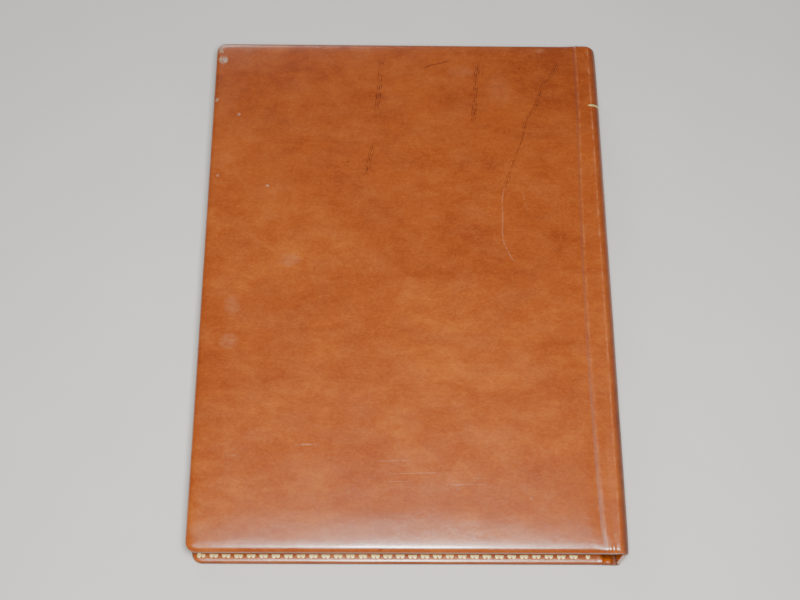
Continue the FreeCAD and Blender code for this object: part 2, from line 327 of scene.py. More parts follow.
def cover_profile(lower):
    """The rings of a cover's edge: flat, rounded, straight, rounded in, and the turned-in margin."""
    edge_depth, margin_depth = wrap_depth(lower, ROLLED_DEPTH), wrap_depth(lower, STRIP_DEPTH)

    def profile(s):
        deep, thin = edge_depth(s), margin_depth(s)
        big, small = UPPER_ROUND * deep, LOWER_ROUND * deep
        rings = [(share, big, 0.0, 0.0) for share in (0.2, 0.4, 0.6, 0.8, 0.92, 1.0)]
        for angle in range(10, 91, 10):
            turn = math.radians(angle)
            rings.append((1.0, big * (1 - math.sin(turn)), big * (1 - math.cos(turn)), angle))
        rings.append((1.0, 0.0, deep - small, 90.0))
        for angle in (22, 45, 68, 90):
            inset = small * (1 - math.cos(math.radians(angle)))
            depth = deep - small * (1 - math.sin(math.radians(angle)))
            rings.append((1.0, inset, depth, 90 + angle))
        for share in (0.9, 0.8, 0.7, 0.6, 0.5, 0.35, 0.2, 0.08, 0.0):
            rings.append((share, small, thin + (deep - thin) * smooth(share, 0.45, 0.95), 180.0))
        return rings

    return profile


def spaced(*runs):
    """Positions through (start, end, step) runs that meet."""
    found = []
    for start, end, step in runs:
        count = max(1, round((end - start) / step))
        found += list(np.linspace(start, end, count, endpoint=False))
    return np.array(found + [runs[-1][1]])


WRAP_ACROSS = spaced(
    (INNER_FORE, FINE_START, 2.0),
    (FINE_START, FINE_END, 0.5),
    (FINE_END, BEND_END + 1.0, 0.7),
    (BEND_END + 1.0, SPINE_MIDDLE, 1.6),
)
WRAP_ALONG = spaced((-INNER_HALF, INNER_HALF, 2.0))


def head_cap(s, y):
    """How far the leather is drawn in over the spine's head end, which rounds its corner."""
    over_spine = smooth(s, BEND_START - 1.5, BEND_START + 7.0)
    return HEAD_DRAW * over_spine * smooth(y, INNER_HALF + 1.0, HALF_LENGTH)


def make_skin(name, lower):
    """One cover's leather, with its turned-in edges, as far as the middle of the spine."""
    points, faces, spots = wrapped(
        WRAP_ACROSS,
        WRAP_ALONG,
        FORE_EDGE,
        HALF_LENGTH,
        COVER_CORNER,
        cover_profile(lower),
        outer_relief(lower),
        lambda s, y, depth: wrap_point(s, y - head_cap(s, y), depth, lower),
        lower,
    )
    s, y, depth = spots.T
    line = crease_line(y, lower)
    on_face = depth < 1.5
    # Painted shade in the valley of the crease
    fold = bump_at(s, line - 1.0, 0.6) * on_face
    # Painted highlight lines along the crease's ridge and at the start of the spine's bend
    ridge = (0.34 * bump_at(s, line + 0.3, 0.5) + 0.6 * bump_at(s, BEND_START + 0.4, 0.5)) * on_face
    # Painted shade over the spine's bend, stronger towards the tail
    bends = smooth(s, BEND_START - 0.5, BEND_START + 5.0) * (1 - smooth(s, BEND_END - 1.5, BEND_END + 4.5))
    bends = bends * (0.55 + 0.45 * smooth(-y, -60.0, 120.0))
    # Painted shade on the lower part of the covers' rounded edges
    gap = np.minimum(HALF_LENGTH - np.abs(y), s - FORE_EDGE)
    under_edge_shade = smooth(depth, 1.6, 4.2) * (1 - smooth(gap, 0.25, 1.5)) * (s < BEND_START + 2)
    # Above 0 painted shade, below 0 painted highlight
    shading_paint = np.clip(0.5 * fold + bends + under_edge_shade, 0.0, 1.0) - ridge
    return thicken(make_piece(name, points, faces, wrap_place(spots, lower), shading_paint), LEATHER)


def wrap_sheet(name, s, y, depth, lower, flip, thickness):
    """A sheet on the wrap, from grids of places and their depths."""
    spots = np.stack([s.ravel(), y.ravel(), depth.ravel()], axis=1)
    faces = grid_faces(s.shape[1], s.shape[0], flip)
    piece = make_piece(name, wrap_point(*spots.T, lower), faces, wrap_place(spots, lower))
    return thicken(piece, thickness)


def make_lining(name, lower):
    """The cloth that lines a cover, its hinge and half the spine."""
    step = LOWER_STEP if lower else UPPER_STEP
    s, y = np.meshgrid(WRAP_ACROSS, WRAP_ALONG)
    hinge = STRIP_DEPTH - 0.5
    depth = LINING_DEPTH + (hinge - LINING_DEPTH) * smooth(s, *step)
    depth = depth + (CARD_DEPTH + 0.5 - hinge) * smooth(s, *CARD_STEP)
    pull = smooth(s, BOARD_END + 3.0, BOARD_END + 7.0) * (1 - smooth(s, BEND_START, BEND_END))
    depth = depth - 0.05 + 0.05 * waves(s, y, 22.0, 51.0) + 0.12 * pull * waves(s * 0.3, y, 7.0, 52.0)
    return wrap_sheet(name, s, y, depth, lower, not lower, LINING)


# ---- Gold

TOOTH = [
    (-1.20, 0.05), (-1.06, -0.12), (1.06, -0.12), (1.20, 0.05), (1.18, 0.60), (0.86, 1.24),
    (0.42, 1.74), (0.0, 1.88), (-0.42, 1.74), (-0.86, 1.24), (-1.18, 0.60),
]
TOOTH_PAIR = 2.32
TOOTH_PITCH = 6.92
FIRST_TOOTH = 1.2
border_high = corners("front_gilt_border")[1]
GILT_IN = HALF_LENGTH - border_high[1]
GILT_WIDTH = 2.2
GILT_RISE = 0.07
FLAKE_SIDES = 6
GILT_LINE, GILT_LINE_START = 0.06, BEND_START - 1.8


def gilt_runs():
    """Start, direction and length of the border's three sides, along its inner edge; teeth point outwards."""
    inner = GILT_IN + GILT_WIDTH - 0.15
    fore, half, end = FORE_EDGE + inner, HALF_LENGTH - inner, border_high[0]
    return [
        (np.array([end, -half]), np.array([-1.0, 0.0]), np.array([0.0, -1.0]), end - fore),
        (np.array([fore, -half]), np.array([0.0, 1.0]), np.array([-1.0, 0.0]), 2 * half),
        (np.array([end, half]), np.array([-1.0, 0.0]), np.array([0.0, 1.0]), end - fore),
    ]


def make_gilt_border(name, lower):
    """Pairs of gold teeth along the turned-in margin."""
    draw = np.random.default_rng(12 if lower else 13)
    points, faces = [], []

    def add_tooth(middle, along, out):
        """One tooth as a thin raised prism with a bevelled top."""
        start = len(points)
        tilt, grow = draw.normal(0.0, 0.03), 1.0 + draw.normal(0.0, 0.03)
        shift = draw.normal(0.0, 0.05, 2)
        for rise, scale in ((-0.12, 1.0), (GILT_RISE - 0.02, 1.0), (GILT_RISE, 0.9)):
            for a, b in TOOTH:
                b = (b - 0.6) * scale + 0.6
                a = a * scale
                a, b = grow * (a - tilt * b), grow * (b + tilt * a)
                spot = middle + along * (a + shift[0]) + out * (b + shift[1])
                points.append([*spot, COVER + rise])
        count = len(TOOTH)
        for ring in range(2):
            for k in range(count):
                following = (k + 1) % count
                first = start + ring * count
                faces.append((first + k, first + following, first + count + following, first + count + k))
        faces.append(tuple(start + 2 * count + k for k in range(count)))

    def add_flake(spot, radius):
        """A stray flake of gold."""
        start = len(points)
        for rise in (-0.05, 0.045):
            for k in range(FLAKE_SIDES):
                turn = 2 * k * math.pi / FLAKE_SIDES + draw.uniform(-0.2, 0.2)
                x, y = spot + radius * np.array([math.cos(turn), 0.7 * math.sin(turn)])
                points.append([x, y, COVER + rise])
        top = start + FLAKE_SIDES
        for k in range(FLAKE_SIDES):
            following = (k + 1) % FLAKE_SIDES
            faces.append((start + k, start + following, top + following, top + k))
        faces.append(tuple(top + k for k in range(FLAKE_SIDES)))

    for origin, along, out, length in gilt_runs():
        begun = len(faces)
        for k in range(int((length + 0.6 - FIRST_TOOTH) / TOOTH_PITCH) + 1):
            middle = FIRST_TOOTH + k * TOOTH_PITCH
            for spot in (middle + TOOTH_PAIR, middle) if k else (middle,):
                add_tooth(origin + along * spot, along, out)
        if along[0] * out[1] - along[1] * out[0] < 0:
            faces[begun:] = [face[::-1] for face in faces[begun:]]
        for _ in range(int(length / 60)):
            spot = origin + along * draw.uniform(4.0, length - 4.0) + out * draw.uniform(1.9, 2.6)
            add_flake(spot, draw.uniform(0.12, 0.28))
    points = np.array(points)
    if not lower:
        points[:, 2] = HEIGHT - points[:, 2]
        faces = [face[::-1] for face in faces]
    return settle(make_piece(name, points, faces), SHARP)


def make_gilt_line(name, lower):
    """Half of the gold line that crosses the spine near the head."""
    low, high = corners("spine_gilt_line")
    across = spaced((GILT_LINE_START, SPINE_MIDDLE, 0.35))
    along = np.linspace(low[1], high[1], 5)
    s, y = np.meshgrid(across, along)
    middle = (low[1] + high[1]) / 2
    widen = 0.3 + 0.8 * smooth(s, GILT_LINE_START, GILT_LINE_START + 2.0)
    y = middle + (y - middle) * widen + 0.06 * waves(s, y, 3.0, 61.0)
    height = outer_relief(lower)(s, y) + 0.035 - 0.05 * (np.abs(np.linspace(-1, 1, 5)) ** 4)[:, None]
    return wrap_sheet(name, s, y, -height, lower, lower, GILT_LINE)


# ---- Inside the covers


def make_felt(name, node, lower):
    """The thin felt under the leather, feathered towards its edges."""
    low, high = corners(node)
    across = spaced((low[0] + 0.8, high[0] - 1.8, 3.0))
    along = spaced((low[1] + 0.8, high[1] - 0.8, 3.0))
    s, y = np.meshgrid(across, along)
    edge = np.minimum.reduce([s - across[0], across[-1] - s, y - along[0], along[-1] - y])
    soft = 0.22 * (1 - smooth(edge, 0.0, 6.0)) + 0.04 * waves(s, y, 9.0, 71.0)
    top = 1.30 + soft
    points = np.stack([s.ravel(), y.ravel(), (top if lower else HEIGHT - top).ravel()], axis=1)
    faces = grid_faces(len(across), len(along), lower)
    return thicken(make_piece(name, points, faces), 0.38)


def make_pocket(name):
    """The document pocket: one leather panel whose three edges turn down onto the lining."""
    high = corners("pocket_panel")[1]
    wall_low = corners("pocket_tail_wall")[0]
    round_edge = 1.6
    top, foot = high[2], wall_low[2]
    fore, mouth, half = wall_low[0], high[0], high[1]
    inner_fore, inner_half = fore + 7.0, half - 7.0
    across = spaced((inner_fore, mouth - 8.0, 3.0), (mouth - 8.0, mouth, 0.5))
    along = spaced((-inner_half, inner_half, 3.0))

    def relief(s, y):
        hem = 0.30 * smooth(s, mouth - 6.2, mouth - 5.6)
        groove = -0.22 * bump_at(s, mouth - 7.0, 0.45)
        belly = -0.35 * bump_at(s, (mouth + fore) / 2, 45.0) * bump_at(y, 0.0, 90.0)
        return hem + groove + belly + 0.10 * waves(s, y, 30.0, 81.0) - 0.38

    def profile(_):
        rings = [(share, round_edge, 0.0, 0.0) for share in (0.35, 0.7, 1.0)]
        for angle in range(15, 91, 15):
            turn = math.radians(angle)
            rings.append((1.0, round_edge * (1 - math.sin(turn)), round_edge * (1 - math.cos(turn)), angle))
        rings += [(1.0, 0.0, (top - foot) * share, 90.0) for share in (0.45, 0.7, 0.9)]
        return rings + [(1.0, -0.15, top - foot - 0.1, 90.0)]

    def to_row(s, y, depth):
        scoop = 7.0 * bump_at(y, 0.0, 24.0) + 0.4 * waves(1.0, y, 40.0, 82.0)
        share = (s - inner_fore) / (mouth - inner_fore)
        return np.stack([s - scoop * np.clip(share, 0, 1) ** 3, y, top - depth], axis=-1)

    points, faces, spots = wrapped(across, along, fore, half, 2.0, profile, relief, to_row, False)
    return thicken(make_piece(name, points, faces, spots), 0.9)


def make_leaves(name):
    """A block of separate sheets of blotting paper."""
    low, high = corners("blotting_sheets")
    draw = np.random.default_rng(21)
    count = int(round((high[2] - low[2]) / 0.5))
    pitch = (high[2] - low[2]) / count
    across, along = spaced((low[0], high[0], 17.5)), spaced((low[1], high[1], 16.5))
    points, faces = [], []
    for k in range(count):
        s, y = np.meshgrid(across, along)
        shift = np.clip(draw.normal(0.0, 0.16, 2), -0.4, 0.4)
        turn = draw.normal(0.0, 0.0009)
        x, y = s + shift[0] - turn * y, y + shift[1] + turn * s
        lift = 0.05 * waves(s, y, 60.0, 90.0 + 0.2 * k)
        start = len(points)
        for top in (False, True):
            level = low[2] + pitch * (k + 0.5) + lift + (0.47 if top else -0.47) * pitch
            points += np.stack([x.ravel(), y.ravel(), level.ravel()], axis=1).tolist()
        size = len(across) * len(along)
        faces += grid_faces(len(across), len(along), True, start)
        faces += grid_faces(len(across), len(along), False, start + size)
        rows, columns = len(along), len(across)
        ring = list(range(columns)) + [j * columns + columns - 1 for j in range(1, rows)]
        ring += [(rows - 1) * columns + i for i in range(columns - 2, -1, -1)]
        ring += [j * columns for j in range(rows - 2, 0, -1)]
        for a, b in zip(ring, ring[1:] + ring[:1]):
            faces.append((start + a, start + b, start + size + b, start + size + a))
    return settle(make_piece(name, points, faces), SHARP)


def make_holder(name, node):
    """A leather corner: a three-sided face over the pad, and two walls turned to the lining."""
    low, high = corners(node)
    face, foot = low[2], high[2]
    leg = high[0] - low[0]
    to_right = 1.0 if (low[0] + high[0]) / 2 < 0 else -1.0
    to_head = 1.0 if (low[1] + high[1]) / 2 < 0 else -1.0
    origin = np.array([low[0] if to_right > 0 else high[0], low[1] if to_head > 0 else high[1]])
    corner, edge = 2.5, 1.3
    count = 81
    run = np.linspace(-1.0, 1.0, count)
    straight = leg - corner
    length = straight + corner * math.pi / 4
    arc = np.abs(run) * length
    reach = corner * math.pi / 4
    turn = np.pi / 4 - np.minimum(arc, reach) / corner
    past = np.maximum(arc - reach, 0.0)

    def rim(inset):
        near = corner - (corner - inset) * np.sin(turn) + past
        far = corner - (corner - inset) * np.cos(turn)
        return np.stack([np.where(run < 0, far, near), np.where(run < 0, near, far)], axis=1)

    share = (run + 1) / 2
    dip = 1.6 * np.sin(math.pi * share)
    hypotenuse = np.stack([3.0 + (leg - 3.0) * share, leg + (3.0 - leg) * share], axis=1)
    hypotenuse -= dip[:, None] * math.sqrt(0.5)
    rings = []
    start_rim = rim(edge)
    for part in np.concatenate([[0.0, 0.015, 0.03, 0.06], np.linspace(0.1, 1.0, 18)]):
        flat = hypotenuse + (start_rim - hypotenuse) * part
        from_edge = np.linalg.norm(start_rim - hypotenuse, axis=1) * part
        groove = 0.22 * bump_at(from_edge, 2.4, 0.4)
        lip = 0.25 * (1 - smooth(from_edge, 0.0, 0.5))
        rings.append(np.column_stack([flat, 0.04 + groove + lip]))
    for angle in (22, 45, 68, 90):
        bend = math.radians(angle)
        drop = edge * (1 - math.cos(bend)) + 0.04
        rings.append(np.column_stack([rim(edge * (1 - math.sin(bend))), np.full(count, drop)]))
    for part in (0.2, 0.45, 0.7, 0.9, 1.0):
        flare = -0.15 * part**6
        drop = edge + 0.04 + (foot - face - edge + 0.1) * part
        rings.append(np.column_stack([rim(flare), np.full(count, drop)]))
    spots = np.concatenate(rings)
    points = np.column_stack(
        [origin[0] + to_right * spots[:, 0], origin[1] + to_head * spots[:, 1], face + spots[:, 2]]
    )
    points[:, 2] += 0.06 * waves(spots[:, 0], spots[:, 1], 12.0, 95.0) * (spots[:, 2] < 0.5)
    faces = grid_faces(count, len(rings), to_right * to_head < 0)
    return thicken(make_piece(name, points, faces), 0.95)


# ---- Materials


def colour(red, green, blue):
    """A colour from its 0 to 255 display values."""
    made = []
    for value in (red, green, blue):
        value = value / 255.0
        made.append(value / 12.92 if value <= 0.04045 else ((value + 0.055) / 1.055) ** 2.4)
    return (*made, 1.0)


class Finish:
    """A node material, built with short calls. Sizes are in metres."""

    def __init__(self, name, stored=True):
        self.material = bpy.data.materials.new(name)
        self.material.use_nodes = True
        self.tree = self.material.node_tree
        self.tree.nodes.clear()
        self.shader = self.node("ShaderNodeBsdfPrincipled")
        output = self.node("ShaderNodeOutputMaterial")
        self.tree.links.new(self.shader.outputs["BSDF"], output.inputs["Surface"])
        if stored:
            self.place = self.node("ShaderNodeAttribute", attribute_name="place").outputs["Vector"]
        else:
            self.place = self.node("ShaderNodeTexCoord").outputs["Object"]

    def node(self, kind, inputs=None, **settings):
        made = self.tree.nodes.new(kind)
        for key, value in settings.items():
            setattr(made, key, value)
        for key, value in (inputs or {}).items():
            self.feed(made.inputs[key], value)
        return made

    def feed(self, socket, value):
        if isinstance(value, bpy.types.NodeSocket):
            self.tree.links.new(value, socket)
        else:
            socket.default_value = value

    def set(self, **values):
        """Sets the shader's own sockets, written with _ for a space."""
        for key, value in values.items():
            self.feed(self.shader.inputs[key.replace("_", " ")], value)

    def math(self, operation, *values):
        """The operation on the first two values, then on that and the next, and so on."""
        made = values[0]
        for value in values[1:]:
            made = self.node("ShaderNodeMath", {0: made, 1: value}, operation=operation).outputs[0]
        return made

    def single(self, operation, value):
        return self.node("ShaderNodeMath", {0: value}, operation=operation).outputs[0]

    def total(self, *values):
        return self.math("ADD", *values)

    def times(self, *values):
        return self.math("MULTIPLY", *values)

    def less(self, value, amount):
        return self.math("SUBTRACT", value, amount)

    def capped(self, value, most):
        return self.math("MINIMUM", value, most)

    def wave(self, value, pitch, operation="SINE"):
        """A wave from -1 to 1 that repeats after pitch."""
        return self.single(operation, self.times(value, 2 * math.pi / pitch))

    def stretch(self, scale, turn=0.0):
        rotation = (0.0, 0.0, math.radians(turn))
        made = self.node("ShaderNodeMapping", {"Vector": self.place, "Scale": scale, "Rotation": rotation})
        return made.outputs[0]

    def noise(self, scale, detail=2.0, roughness=0.5, distortion=0.0, vector=None):
        look = {"Scale": scale, "Detail": detail, "Roughness": roughness, "Distortion": distortion}
        made = self.node("ShaderNodeTexNoise", look)
        self.feed(made.inputs["Vector"], self.place if vector is None else vector)
        return made.outputs[0]

    def cells(self, scale, feature="F1"):
        made = self.node("ShaderNodeTexVoronoi", {"Vector": self.place, "Scale": scale}, feature=feature)
        return made.outputs["Distance"]

    def line(self, value, low, high, to_low, to_high, shape="LINEAR"):
        """A straight ramp of value from low to high, held at its ends."""
        ends = {"From Min": low, "From Max": high, "To Min": to_low, "To Max": to_high}
        made = self.node("ShaderNodeMapRange", {"Value": value, **ends}, interpolation_type=shape)
        return made.outputs[0]

    def step(self, value, low, high, to_low=0.0, to_high=1.0):
        """A smooth step of value from low to high."""
        return self.line(value, low, high, to_low, to_high, "SMOOTHSTEP")

    def patchy(self, scale, detail, roughness, low, high, least=0.0):
        """Noise sharpened into patches of 1 on a ground of least."""
        return self.step(self.noise(scale, detail, roughness), low, high, least, 1.0)

    def mix(self, factor, *colours):
        """A mix of two colours, each a socket or its red, green and blue display values."""
        made = self.node("ShaderNodeMix", {0: factor}, data_type="RGBA")
        for socket, value in zip(made.inputs[6:8], colours):
            self.feed(socket, colour(*value) if isinstance(value, tuple) else value)
        return made.outputs[2]

    def axes(self):
        return tuple(self.node("ShaderNodeSeparateXYZ", {"Vector": self.place}).outputs)

    def curve(self, value, points):
        """A smooth curve through (value, result) points."""
        xs, ys = zip(*points)
        low, high = min(xs), max(xs)
        base, top = min(ys) - 0.001, max(ys) + 0.001
        share = self.line(value, low, high, 0.0, 1.0)
        made = self.node("ShaderNodeFloatCurve")
        track = made.mapping.curves[0]
        while len(track.points) < len(points):
            track.points.new(0.5, 0.5)
        ordered = sorted(((x - low) / (high - low), (y - base) / (top - base)) for x, y in points)
        for spot, (x, y) in zip(track.points, ordered):
            spot.location = (x, y)
        made.mapping.update()
        self.feed(made.inputs["Value"], share)
        return self.line(made.outputs[0], 0.0, 1.0, base, top)

    def bump(self, height, distance, strength=1.0, normal=None):
        made = self.node("ShaderNodeBump", {"Height": height, "Distance": distance, "Strength": strength})
        if normal is not None:
            self.feed(made.inputs["Normal"], normal)
        return made.outputs[0]


def add_leather(look, tones, depth=1.0):
    """Tanned calf leather: mottled colour, pores and grain. Returns its colour, height, clouds and fibres."""
    dark, middle, light, pale = tones
    cloudy = look.noise(11.0, 4.0, 0.55, 0.4)
    blotches = look.noise(34.0, 4.0, 0.6, 0.3, look.stretch((1.0, 1.35, 1.0), 12.0))
    streaks = look.noise(30.0, 3.0, 0.55, 0.2, look.stretch((0.28, 2.4, 1.0), 2.0))
    fibres = look.noise(420.0, 3.0, 0.65, 0.0, look.stretch((0.75, 1.25, 1.0), 20.0))
    speckle = look.noise(1500.0, 2.0, 0.6)
    flecks = look.noise(150.0, 2.0, 0.5, 0.2, look.stretch((0.7, 1.3, 1.0), 8.0))
    grains = look.noise(720.0, 3.0, 0.7, 0.0, look.stretch((0.8, 1.25, 1.0), 5.0))
    tone = look.total(
        look.times(cloudy, 0.85), look.times(blotches, 0.60), look.times(streaks, 0.30),
        look.times(flecks, 0.42), 0.04,
    )
    # Painted light: the tail end is painted a little paler than the head end, as if lit more strongly there
    paler_tone = look.line(look.axes()[1], -0.16, 0.16, 0.10, -0.10)
    tone = look.line(look.total(tone, paler_tone), 0.78, 1.48, 0.0, 1.0)
    made = look.mix(look.step(tone, 0.0, 0.55), dark, middle)
    made = look.mix(look.step(tone, 0.45, 1.0), made, light)
    clouds = look.step(look.noise(58.0, 2.0, 0.5, 0.2, look.stretch((0.8, 1.2, 1.0), 8.0)), 0.36, 0.80)
    made = look.mix(look.times(clouds, 0.22), made, pale)
    made = look.mix(look.step(grains, 0.34, 0.58, 0.24, 0.0), made, dark)
    made = look.mix(look.step(grains, 0.48, 0.72, 0.0, 0.24), made, pale)
    made = look.mix(look.step(fibres, 0.25, 0.70, 0.20, 0.0), made, dark)
    made = look.mix(look.step(fibres, 0.40, 0.85, 0.0, 0.20), made, light)
    made = look.mix(look.step(speckle, 0.52, 0.75, 0.0, 0.22), made, pale)
    pores = look.cells(2600.0)
    grain = look.cells(1900.0, "DISTANCE_TO_EDGE")
    height = look.total(
        look.times(look.step(grain, 0.0, 0.22), 0.55 * depth),
        look.times(look.step(pores, 0.05, 0.35), 0.30),
        look.times(fibres, 0.5),
        look.times(speckle, 0.30),
    )
    return made, height, clouds, fibres


# Distance between a crack's parallel lines, and how much its line and a scratch's line wander
CRACK_PITCH = 0.0012
CRACK_WANDER, SCRATCH_WANDER = 0.6, 0.2


def outer_leather():
    """The outside leather, with its cracks, scratches, smudges and worn corner."""
    look = Finish("outer_leather")
    made, height, clouds, fibres = add_leather(
        look, ((128, 50, 8), (154, 70, 14), (182, 94, 24), (182, 104, 50))
    )
    u, y, _ = look.axes()
    wobble = look.less(look.noise(170.0, 3.0, 0.6), 0.5)
    jitter = look.less(look.noise(900.0, 2.0, 0.6), 0.5)
    broken = look.noise(330.0, 2.0, 0.55)
    dashes_y = look.noise(1500.0, 3.0, 0.6, 0.0, look.stretch((1.0, 0.17, 1.0)))
    dashes_x = look.noise(1500.0, 3.0, 0.6, 0.0, look.stretch((0.17, 1.0, 1.0)))

    def crack(points, width, spread=0.0, amount=1.0, along_x=False, loose=CRACK_WANDER):
        """A mask of fine broken lines beside a curve of (position along, position across) points.

        With a spread it is a band of short parallel lines, and without one a single line."""
        run, cross, dashes = (u, y, dashes_x) if along_x else (y, u, dashes_y)
        points = [(a * MM, b * MM) for a, b in points]
        low, high = min(points)[0], max(points)[0]
        off = look.less(cross, look.curve(run, points))
        off = look.total(off, look.times(wobble, 0.0026 * loose), look.times(jitter, 0.0010 * loose))
        aside = look.single("ABSOLUTE", off)
        if spread:
            rows = look.step(look.wave(off, CRACK_PITCH, "COSINE"), 0.0, 0.7)
            band = look.step(aside, 0.5 * spread * MM, spread * MM, 1.0, 0.0)
            near = look.times(rows, band, look.step(dashes, 0.44, 0.51))
        else:
            near = look.step(aside, 0.0, width * MM, 1.0, 0.0)
        start = look.step(run, low - 0.001, low + 0.004)
        end = look.step(run, high - 0.004, high + 0.001, 1.0, 0.0)
        return look.times(near, start, end, look.step(broken, 0.36, 0.52, 0.2, 1.0), amount)

    def scratch(points, width, amount, along_x=True):
        """A thin single line that hardly wanders."""
        return crack(points, width, 0.0, amount, along_x, SCRATCH_WANDER)

    cracks = (
        crack([(149, -15.8), (130, -17), (112, -18.4)], 0.5, 2.6),
        crack([(89, -20.6), (77, -22.8), (66, -24.7)], 0.5, 1.7),
        crack([(149, 45.6), (135, 43.2), (120, 42.2), (104, 40.8)], 0.5, 2.4),
        crack([(149, 48.3), (136, 47.4)], 0.4, 1.2, 0.9),
        crack([(149, 94.2), (142, 92.4), (131, 85), (116, 80), (107, 74.4), (98, 71.3)], 0.6, 1.9),
        crack([(104, 73.0), (92, 70.4), (80, 65.6)], 0.5, 0.0, 0.85),
        crack([(84, 67.0), (72, 62.8), (64.5, 60.9), (57, 58.4)], 0.6, 1.7),
        crack([(8.7, 142), (14.8, 145.2), (20.1, 146.8), (28.5, 149)], 0.5, 0.0, 1.0, True, 0.5),
        crack([(-20, -161.6), (-14, -160.2), (-8.6, -158.4)], 0.40, 0.0, 0.9, True),
        crack([(-0.5, 122.9), (6, 123.1)], 0.5, 0.3, 0.5, True),
        crack([(-40, 75), (-33, 76.6)], 0.45, 0.0, 0.6, True),
    )
    scratches = (
        scratch([(60, 59.2), (49, 57), (40, 57.1), (27, 56.7), (17, 59.3), (9, 63.8)], 0.7, 0.5, False),
        scratch([(57, 69.1), (43, 71.9)], 0.45, 0.4, False),
        scratch([(-17.2, -111.6), (4.9, -111.2)], 0.32, 0.85),
        scratch([(-10.5, -118.7), (17.3, -118.1)], 0.32, 0.85),
        scratch([(-12.7, -123.2), (2.6, -123.0)], 0.32, 0.6),
        scratch([(35, -121.2), (45, -120.9)], 0.34, 0.7),
        scratch([(20.4, -124.7), (43, -124.4)], 0.34, 0.8),
        scratch([(-63, -102.8), (-56, -102.2), (-48.8, -102.4)], 0.8, 0.7),
        scratch([(-102.3, -109.9), (-97, -108.8), (-91.6, -109.4)], 0.5, 0.45),
        scratch([(98, -125.5), (101, -127.2)], 0.45, 0.9),
        scratch([(94, -143.0), (100.7, -142.8)], 0.4, 0.6),
        scratch([(77.9, 55.0), (81.9, 55.2)], 0.5, 0.6),
    )

    def spots(*rows):
        """Soft round patches, each a row of x, y, half width, half length and strength."""
        found = []
        for x, place_y, radius_x, radius_y, strength in rows:
            a = look.times(look.less(u, x * MM), 1.0 / (radius_x * MM))
            b = look.times(look.less(y, place_y * MM), 1.0 / (radius_y * MM))
            square = look.total(look.times(a, a), look.times(b, b))
            found.append(look.times(look.step(square, 0.0, 1.0, 1.0, 0.0), strength))
        return look.total(*found)

    cut = look.math("MAXIMUM", *cracks)
    scraped = look.math("MAXIMUM", *scratches)
    smudges = spots(
        (-102, -41, 7, 6, 0.45), (-101, -19, 6, 8, 0.35), (-69, 10, 8, 6, 0.35), (-100, 155.5, 3, 2, 0.5),
        (84, 157, 5, 2.5, 0.4), (34, 141, 11, 6, 0.20), (57, 128, 10, 15, 0.16), (-112, -150, 9, 6, 0.30),
    )
    worn = spots(
        (-115.2, 148.5, 3.4, 3.6, 1.3), (-117.5, 156.5, 3.0, 6.0, 0.7), (-117.6, 119.1, 1.3, 1.6, 1.3),
        (-103.6, 108.6, 1.5, 1.3, 0.6), (-84, 59, 1.2, 1.0, 0.8), (-114, 66, 1.2, 1.2, 0.8),
        (67.3, -132.1, 0.9, 0.9, 1.2),
    )
    worn = look.times(worn, look.patchy(520.0, 4.0, 0.7, 0.40, 0.62))
    smudges = look.times(smudges, look.patchy(210.0, 5.0, 0.7, 0.30, 0.65, 0.25))
    # Painted shading from the mesh: painted shade above 0, painted highlight below 0, both broken up by noise
    painted_shading = look.node("ShaderNodeAttribute", attribute_name="painted_shading").outputs["Fac"]
    painted_highlight = look.math("MAXIMUM", look.times(painted_shading, -1.0), 0.0)
    painted_highlight = look.times(painted_highlight, look.patchy(150.0, 5.0, 0.7, 0.42, 0.64, 0.15))
    painted_shade = look.math("MAXIMUM", painted_shading, 0.0)
    painted_shade = look.times(painted_shade, look.patchy(120.0, 4.0, 0.6, 0.25, 0.7, 0.7))
    # The painted shade darkens the colour, the painted highlight lightens it
    made = look.mix(look.times(painted_shade, 0.80), made, (72, 28, 8))
    made = look.mix(look.times(painted_highlight, 0.60), made, (214, 150, 108))
    made = look.mix(look.capped(look.times(smudges, 0.7), 0.35), made, (186, 124, 88))
    made = look.mix(look.times(look.capped(cut, 1.0), 0.88), made, (66, 22, 8))
    made = look.mix(look.times(scraped, 0.30), made, (216, 172, 142))
    made = look.mix(look.capped(worn, 0.9), made, (168, 158, 138))
    gloss = look.total(
        0.245,
        look.times(painted_shade, 0.50),
        look.times(look.less(clouds, 0.3), 0.02),
        look.times(look.less(fibres, 0.5), 0.05),
        look.times(look.capped(worn, 1.0), 0.25),
    )
    fine = look.bump(height, 0.000052, 0.5)
    soft = look.bump(look.noise(75.0, 3.0, 0.5), 0.0005, 0.25, fine)
    lines = look.bump(look.less(1.0, cut), 0.00002, 0.5, soft)
    look.set(Base_Color=made, Roughness=gloss, Normal=lines)
    look.set(IOR=1.5, Specular_IOR_Level=0.85, Specular_Tint=(1.0, 0.96, 0.92, 1.0))
    look.set(Coat_Weight=0.45, Coat_Roughness=0.16)
    return look.material


def inner_leather():
    """Leather of the pocket and the blotter's corners: a little darker and finer."""
    look = Finish("inner_leather")
    made, height, _, fibres = add_leather(
        look, ((96, 38, 10), (122, 54, 18), (144, 72, 28), (150, 88, 52)), 0.8
    )
    gloss = look.total(0.46, look.times(look.less(fibres, 0.5), 0.25))
    look.set(Base_Color=made, Roughness=gloss, Normal=look.bump(height, 0.00010, 0.6))
    look.set(Coat_Weight=0.06, Coat_Roughness=0.35)
    return look.material


